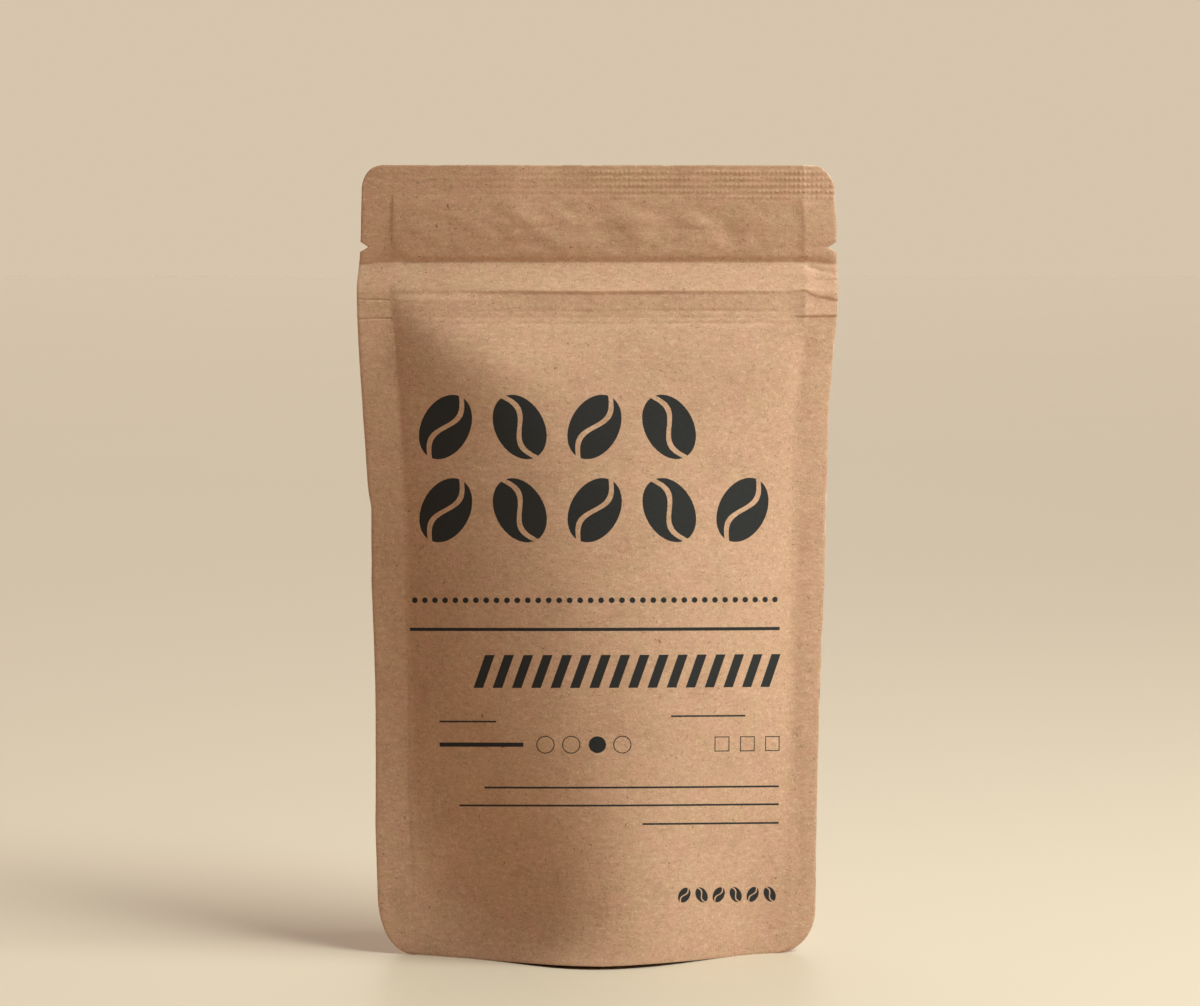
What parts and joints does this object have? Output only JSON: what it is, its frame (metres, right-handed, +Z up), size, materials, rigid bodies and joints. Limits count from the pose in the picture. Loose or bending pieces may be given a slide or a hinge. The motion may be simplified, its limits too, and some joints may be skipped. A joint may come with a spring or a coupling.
{
  "type": "coffee pouch",
  "caption": "Shut, filled stand-up pouch of kraft paper, with sealed sides and top, a press-to-close zip, tear notches and a gusseted foot.",
  "frame": {"origin": "on the surface the pouch stands on, under the middle of its box", "axes": "+Z up from the foot to the top seal, +X to the right as seen from the front, the printed front panel facing -Y"},
  "size_m": [0.12, 0.0364, 0.2],
  "materials": {
    "kraft_paper": "matte kraft paper laminate with dark printed shapes on the front"
  },
  "bodies": {
    "root": {"pouch": "kraft_paper"}
  },
  "joints": []
}
